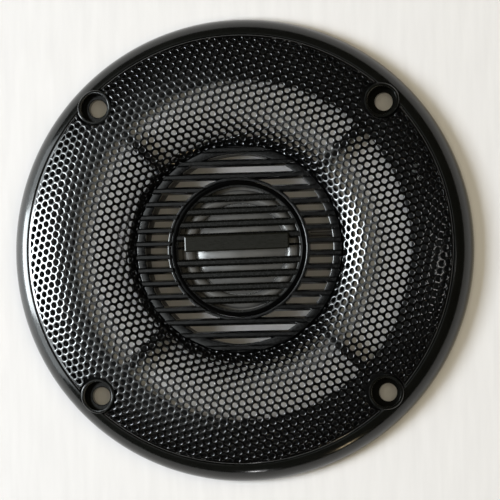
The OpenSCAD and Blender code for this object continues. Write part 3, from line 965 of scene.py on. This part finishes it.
def tube(points, radius, sides=14):
    """A round tube along points, with flat ends."""
    path = [Vector(p) for p in points]
    rings = []
    for i, p in enumerate(path):
        ahead = (path[min(i + 1, len(path) - 1)] - path[max(i - 1, 0)]).normalized()
        side = ahead.cross(Vector((0, 0, 1)))
        side = Vector((0, 1, 0)) if side.length < 0.05 else side.normalized()
        up = side.cross(ahead)
        rings.append([tuple(p + radius * (math.cos(TAU * k / sides) * side
                                          + math.sin(TAU * k / sides) * up))
                      for k in range(sides)])
    return scratch(loft(bmesh.new(), rings))


def on_circle(r, degrees, z):
    a = math.radians(degrees)
    return [r * math.cos(a), r * math.sin(a), z]


def beside_spoke(r, off, z):
    return [(r - off) / math.sqrt(2), (r + off) / math.sqrt(2), z]


def at_block(x, y, z):
    return list(turned_place(BLOCK_ANGLE, BLOCK_R)(x, y, z))


def wire_routes():
    positive = [[16.9, 3.95, 2.75], [18.5, 3.95, 2.75], [26, 3.95, 2.5], [27.8, 3.95, 2.5]]
    positive += [on_circle(28.1, a, 2.4) for a in range(12, 37, 6)]
    positive += [on_circle(28.1, 41, 1.9), on_circle(28.15, 46, 1.85),
                 beside_spoke(31, 0.55, 1.85), beside_spoke(50, 0.55, 1.8),
                 at_block(-4.6, 10, 1.6), at_block(-4.4, 4.5, 1.4), at_block(-4.2, 2.4, 1.4),
                 at_block(-3.05, 2.4, 1.4)]
    negative = [[16.9, 3.05, 2.75], [18.5, 3.05, 2.75], [26, 3.05, 2.5], [28.9, 3.05, 2.5]]
    negative += [on_circle(29.1, a, 2.4) for a in range(11, 36, 6)]
    negative += [on_circle(29.1, 39.5, 1.9), on_circle(29.1, 43.9, 1.85),
                 beside_spoke(32, -0.55, 1.85), beside_spoke(48.6, -0.55, 1.8),
                 at_block(-5.6, 10, 1.6), at_block(-5.5, 0, 1.4), at_block(-5, -2.4, 1.4),
                 at_block(-3.05, -2.4, 1.4)]
    return positive, negative


def wiring():
    positive, negative = wire_routes()
    for node, route, material in (("lead_wire_positive", positive, GREY_WIRE),
                                  ("lead_wire_negative", negative, BLACK_WIRE)):
        stand_for(shaded(tube(smooth_route(route, 3), WIRE_R), material, 50), node)

    turn = turned_place(LEAD_ANGLE)
    leads = []
    for y in (-1, 1):
        route = [turn(x, y, z) for x, z in ((13.25, 5.2), (14.2, 5.4), (16, 5.6), (16.6, 5),
                                            (16.6, 2.5))]
        leads.append(tube(smooth_route(route, 2), 0.2, 10))
    both = shaded(joined(leads), TINSEL, 50)
    radii = [math.hypot(v.co.x, v.co.y) / MM for v in both.data.vertices]
    bend_with_dome(both, "coil_leads", [(16.4 - r) / (16.4 - 13.3) for r in radii])


def boxed(node, x_size, y_size, z0, z1, radius, place, material, bevel):
    """A block with rounded upright edges and softened rims."""
    outline = rounded(rectangle(*x_size[:1], *y_size[:1], *x_size[1:], *y_size[1:]), radius, 4)
    block = scratch(prism(bmesh.new(), outline, z0, z1, place))
    return stand_for(soften_edges(shaded(block, material, 40), bevel), node)


def capsule_electrics():
    board_x = (YOKE_R + 0.2, YOKE_R + 2.1)
    boxed("solder_board", board_x, (-2.6, 2.6), CUP_FLOOR, top("solder_board"), 0.15,
          turned_place(LEAD_ANGLE), BOARD, 0.05)
    part_x = (YOKE_R + 0.25, YOKE_R + 2.15)
    boxed("crossover_capacitor", part_x, (-2.6, 2.6), CUP_FLOOR, top("crossover_capacitor"), 0.6,
          turned_place(math.radians(60)), CAPACITOR, 0.35)


def terminal_block():
    place = turned_place(BLOCK_ANGLE, BLOCK_R)
    half_d, half_w = BLOCK_SIZE[0] / 2, BLOCK_SIZE[1] / 2
    outline = rounded(rectangle(-half_d, -half_w, half_d, half_w), 0.5, 4)
    block = scratch(prism(bmesh.new(), outline, *BLOCK_Z, place))
    cutters = []
    for y in (-RIVET_Y, RIVET_Y):
        x0, y0, _ = place(0, y, 0)
        hole = [(0, -1), (0.85, -1), (0.85, 9), (0, 9)]
        cutters.append(scratch(lathe(bmesh.new(), hole, 32, (x0, y0))))
    for size in ((-2.5, 3.4, 2.5, 8.4), (-1.5, -8.4, 1.5, -3.4)):
        cutters.append(scratch(prism(bmesh.new(), rectangle(*size), BLADE_Z[0] - 0.05,
                                     BLADE_Z[1] + 0.05, place)))
    combine(block, cutters, "DIFFERENCE")
    stand_for(soften_edges(shaded(block, CAPSULE_PLASTIC, 40), 0.12), "terminal_block")


def blade(node, width, start, end):
    """A flat blade with a tapered tip and the locking hole that such blades have."""
    sense = math.copysign(1, end - start)
    half, taper = width / 2, 0.8
    outline = [(-half, start), (half, start), (half, end - sense * taper),
               (half - taper, end), (taper - half, end), (-half, end - sense * taper)]
    if sense < 0:
        outline = outline[::-1]
    place = turned_place(BLOCK_ANGLE, BLOCK_R)
    made = scratch(prism(bmesh.new(), rounded(outline, 0.12, 3), *BLADE_Z, place))
    x0, y0, _ = place(0, start + (end - start) * 0.62, 0)
    hole = [(0, 0), (0.65, 0), (0.65, 3), (0, 3)]
    combine(made, [scratch(lathe(bmesh.new(), hole, 32, (x0, y0)))], "DIFFERENCE")
    stand_for(soften_edges(shaded(made, BRASS, 40), 0.1), node)


def rivets():
    place = turned_place(BLOCK_ANGLE, BLOCK_R)
    low, high = bottom("terminal_rivets"), top("terminal_rivets")
    profile = rounded([(0, low, 0), (0.7, low, 0.15), (1.4, low + 0.3, 0.12), (0.75, low + 0.3, 0),
                       (0.75, high - 0.4, 0), (1.4, high - 0.4, 0.1), (1.0, high - 0.05, 0.3),
                       (0, high, 0)], 0.1, 4)
    parts = []
    for y in (-RIVET_Y, RIVET_Y):
        x0, y0, _ = place(0, y, 0)
        parts.append(scratch(lathe(bmesh.new(), profile, 40, (x0, y0))))
    stand_for(shaded(joined(parts), SHEET_ALUMINIUM, 40), "terminal_rivets")


# ---------------------------------------------------------------- stage

def table_top():
    """A pale table with faint upright streaks."""
    material = surface("table", (0.64, 0.64, 0.635), 0.6, grain=3, depth=0.02, spread=0.05,
                       mottle=0.03, patch=2.5, stretch=(1, 0.12, 1))
    bm = bmesh.new()
    prism(bm, rectangle(-1500, -1500, 1500, 1500), -20, -0.02)
    floor = shaded(scratch(bm), material)
    floor.name = "table_top"


def light(name, place, size, watts, colour=(1, 1, 1), in_gloss=True, on_matt=True):
    """An area light aimed at the origin. It can be left out of gloss or of matt surfaces."""
    lamp = bpy.data.lights.new(name, "AREA")
    lamp.shape = "RECTANGLE"
    lamp.size, lamp.size_y = size
    lamp.energy = watts
    lamp.color = colour
    obj = bpy.data.objects.new(name, lamp)
    obj.location = place
    obj.rotation_mode = "QUATERNION"
    obj.rotation_quaternion = (-Vector(place)).to_track_quat("-Z", "Y")
    obj.visible_glossy = in_gloss
    obj.visible_diffuse = on_matt
    bpy.context.scene.collection.objects.link(obj)


def studio():
    """Reflections and brightness are lit apart. A low window at the left with a brighter
    middle, a dim panel over it and three small lamps show in gloss. The key and the warm fill
    light the table and don't show in gloss."""
    light("window", (-1.1, 0, 0.45), (1.3, 0.9), 14, (0.9, 0.97, 1.0), on_matt=False)
    light("window_middle", (-1.08, 0, 0.44), (0.5, 0.9), 30, (0.9, 0.97, 1.0), on_matt=False)
    light("panel", (-0.5, 0, 1.0), (1.3, 0.6), 2.2, (0.95, 1.0, 1.0), on_matt=False)
    light("right_lamp", (0.8, -0.04, 0.8), (0.08, 0.08), 0.25, (1.0, 0.98, 0.95), on_matt=False)
    light("front_lamp", (-0.08, -1.1, 0.1), (0.06, 0.06), 0.3, on_matt=False)
    light("warm_lamp", (0.4, -1.0, 0.16), (0.1, 0.06), 0.25, (1.0, 0.8, 0.5), on_matt=False)
    light("key", (-0.85, -0.03, 0.95), (0.5, 0.5), 21, (0.88, 0.92, 1.0), in_gloss=False)
    light("fill", (0.3, 0.1, 1.15), (1.4, 1.4), 11, (1.0, 0.88, 0.66), in_gloss=False)
    world = bpy.data.worlds.new("room")
    bpy.context.scene.world = world
    world.use_nodes = True
    world.node_tree.nodes["Background"].inputs["Color"].default_value = (1.0, 0.9, 0.75, 1)
    world.node_tree.nodes["Background"].inputs["Strength"].default_value = 0.015
    bpy.context.scene.view_settings.view_transform = "Standard"


def camera():
    data = bpy.data.cameras.new("camera")
    data.lens = CAMERA_LENS
    obj = bpy.data.objects.new("camera", data)
    back = (CAMERA_PLACE - CAMERA_AIM).normalized()
    up = Vector((math.sin(CAMERA_ROLL), math.cos(CAMERA_ROLL), 0))
    right = up.cross(back).normalized()
    up = back.cross(right)
    obj.rotation_mode = "QUATERNION"
    turned = np.array([right, up, back]).T
    obj.rotation_quaternion = Matrix(turned.tolist()).to_quaternion()
    obj.location = CAMERA_PLACE
    bpy.context.scene.collection.objects.link(obj)
    bpy.context.scene.camera = obj


camera()
studio()
table_top()
front_bezel()
rear_frame()
foam_gasket()
mesh_grille()
louvre_cover()
capsule_grille()
capsule_ring()
capsule_housing()
badge_plate()
motor()
diaphragm_ring()
dome()
surround()
voice_coil()
wiring()
capsule_electrics()
terminal_block()
blade("terminal_positive", POSITIVE_BLADE_W, BLADE_START, BLADE_END)
blade("terminal_negative", NEGATIVE_BLADE_W, -BLADE_START, -BLADE_END)
rivets()
